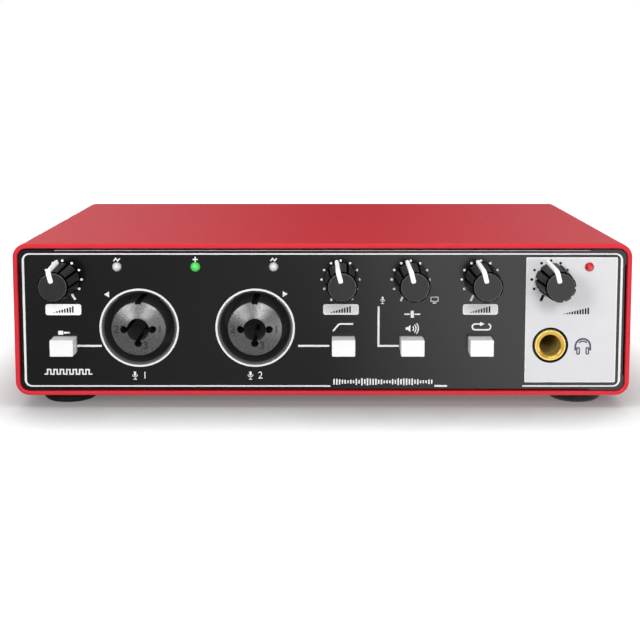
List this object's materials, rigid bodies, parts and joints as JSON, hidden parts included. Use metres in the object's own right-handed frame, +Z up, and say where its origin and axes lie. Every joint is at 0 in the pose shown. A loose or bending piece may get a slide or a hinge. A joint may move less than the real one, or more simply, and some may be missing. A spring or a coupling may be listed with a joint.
{
  "type": "usb audio interface",
  "caption": "Red metal desktop box with a black front panel of turning knobs, push buttons, indicator lamps, combination input sockets and a headphone socket, for recording sound over USB.",
  "frame": {"origin": "on the surface it stands on, below the middle of the whole object's box", "axes": "+X to the right of a person facing the front panel, +Y from the front panel to the rear panel, +Z up"},
  "size_m": [0.1868, 0.1268, 0.0506],
  "materials": {
    "red_paint": "satin red powder paint on extruded aluminium",
    "front_panel_black": "matt black with white and light grey print",
    "rear_panel_black": "matt black",
    "rubber": "moulded black rubber",
    "screw_steel": "zinc plated",
    "circuit_board": "green solder mask",
    "socket_plastic": "moulded black",
    "pot_metal": "plated",
    "shaft_steel": "turned",
    "knob_plastic": "moulded satin black",
    "pointer_white": "moulded white",
    "button_white": "moulded white",
    "clear_lens": "diffused clear lens, unlit",
    "green_lens": "green lens, lit",
    "red_lens": "red lens",
    "insert_grey": "moulded grey",
    "brass": "turned",
    "nut_nickel": "nickel plated",
    "usb_steel": "tinned"
  },
  "bodies": {
    "case": {"sleeve": "red_paint", "front_panel": "front_panel_black", "rear_panel": "rear_panel_black", "foot_front_left": "rubber", "foot_front_right": "rubber", "foot_rear_left": "rubber", "foot_rear_right": "rubber", "foot_screw_front_left": "screw_steel", "foot_screw_front_right": "screw_steel", "foot_screw_rear_left": "screw_steel", "foot_screw_rear_right": "screw_steel", "main_board": "circuit_board", "control_board": "circuit_board", "board_header": "socket_plastic", "gain_1_pot": "pot_metal", "gain_2_pot": "pot_metal", "mix_pot": "pot_metal", "output_pot": "pot_metal", "phones_pot": "pot_metal", "hi_z_switch": "socket_plastic", "low_cut_switch": "socket_plastic", "monitor_switch": "socket_plastic", "loopback_switch": "socket_plastic", "phantom_switch": "socket_plastic", "peak_1_lamp": "clear_lens", "peak_2_lamp": "clear_lens", "phantom_lamp": "green_lens", "power_lamp": "red_lens", "input_1_socket": "socket_plastic", "input_2_socket": "socket_plastic", "input_1_insert": "insert_grey", "input_2_insert": "insert_grey", "phones_socket": "socket_plastic", "phones_bush": "brass", "line_output_1_socket": "socket_plastic", "line_output_2_socket": "socket_plastic", "line_output_1_nut": "nut_nickel", "line_output_2_nut": "nut_nickel", "usb_socket": "usb_steel"},
    "gain_1": {"gain_1_knob": "knob_plastic", "gain_1_pointer": "pointer_white", "gain_1_shaft": "shaft_steel"},
    "gain_2": {"gain_2_knob": "knob_plastic", "gain_2_pointer": "pointer_white", "gain_2_shaft": "shaft_steel"},
    "mix": {"mix_knob": "knob_plastic", "mix_pointer": "pointer_white", "mix_shaft": "shaft_steel"},
    "output": {"output_knob": "knob_plastic", "output_pointer": "pointer_white", "output_shaft": "shaft_steel"},
    "phones": {"phones_knob": "knob_plastic", "phones_pointer": "pointer_white", "phones_shaft": "shaft_steel"},
    "hi_z": {"hi_z_button": "button_white"},
    "low_cut": {"low_cut_button": "button_white"},
    "monitor": {"monitor_button": "button_white"},
    "loopback": {"loopback_button": "button_white"},
    "phantom": {"phantom_button": "button_white"}
  },
  "joints": [
    {"name": "gain_1_turn", "type": "hinge", "parent": "case", "child": "gain_1", "pos_m": [-0.07844, -0.0494, 0.03965], "axis": [0, 1, 0], "range_deg": [-135.5, 164.5]},
    {"name": "gain_2_turn", "type": "hinge", "parent": "case", "child": "gain_2", "pos_m": [0.00573, -0.0494, 0.03965], "axis": [0, 1, 0], "range_deg": [-135.5, 164.5]},
    {"name": "mix_turn", "type": "hinge", "parent": "case", "child": "mix", "pos_m": [0.02693, -0.0494, 0.03965], "axis": [0, 1, 0], "range_deg": [-135.5, 164.5]},
    {"name": "output_turn", "type": "hinge", "parent": "case", "child": "output", "pos_m": [0.04811, -0.0494, 0.03965], "axis": [0, 1, 0], "range_deg": [-135.5, 164.5]},
    {"name": "phones_turn", "type": "hinge", "parent": "case", "child": "phones", "pos_m": [0.06931, -0.0494, 0.03965], "axis": [0, 1, 0], "range_deg": [-135.5, 164.5]},
    {"name": "hi_z_press", "type": "slide", "parent": "case", "child": "hi_z", "axis": [0, 1, 0], "range_m": [0, 0.0025], "stiffness_N_per_m": 600, "springref_m": -0.001},
    {"name": "low_cut_press", "type": "slide", "parent": "case", "child": "low_cut", "axis": [0, 1, 0], "range_m": [0, 0.0025], "stiffness_N_per_m": 600, "springref_m": -0.001},
    {"name": "monitor_press", "type": "slide", "parent": "case", "child": "monitor", "axis": [0, 1, 0], "range_m": [0, 0.0025], "stiffness_N_per_m": 600, "springref_m": -0.001},
    {"name": "loopback_press", "type": "slide", "parent": "case", "child": "loopback", "axis": [0, 1, 0], "range_m": [0, 0.0025], "stiffness_N_per_m": 600, "springref_m": -0.001},
    {"name": "phantom_press", "type": "slide", "parent": "case", "child": "phantom", "axis": [0, -1, 0], "range_m": [0, 0.0025], "stiffness_N_per_m": 600, "springref_m": -0.001}
  ]
}
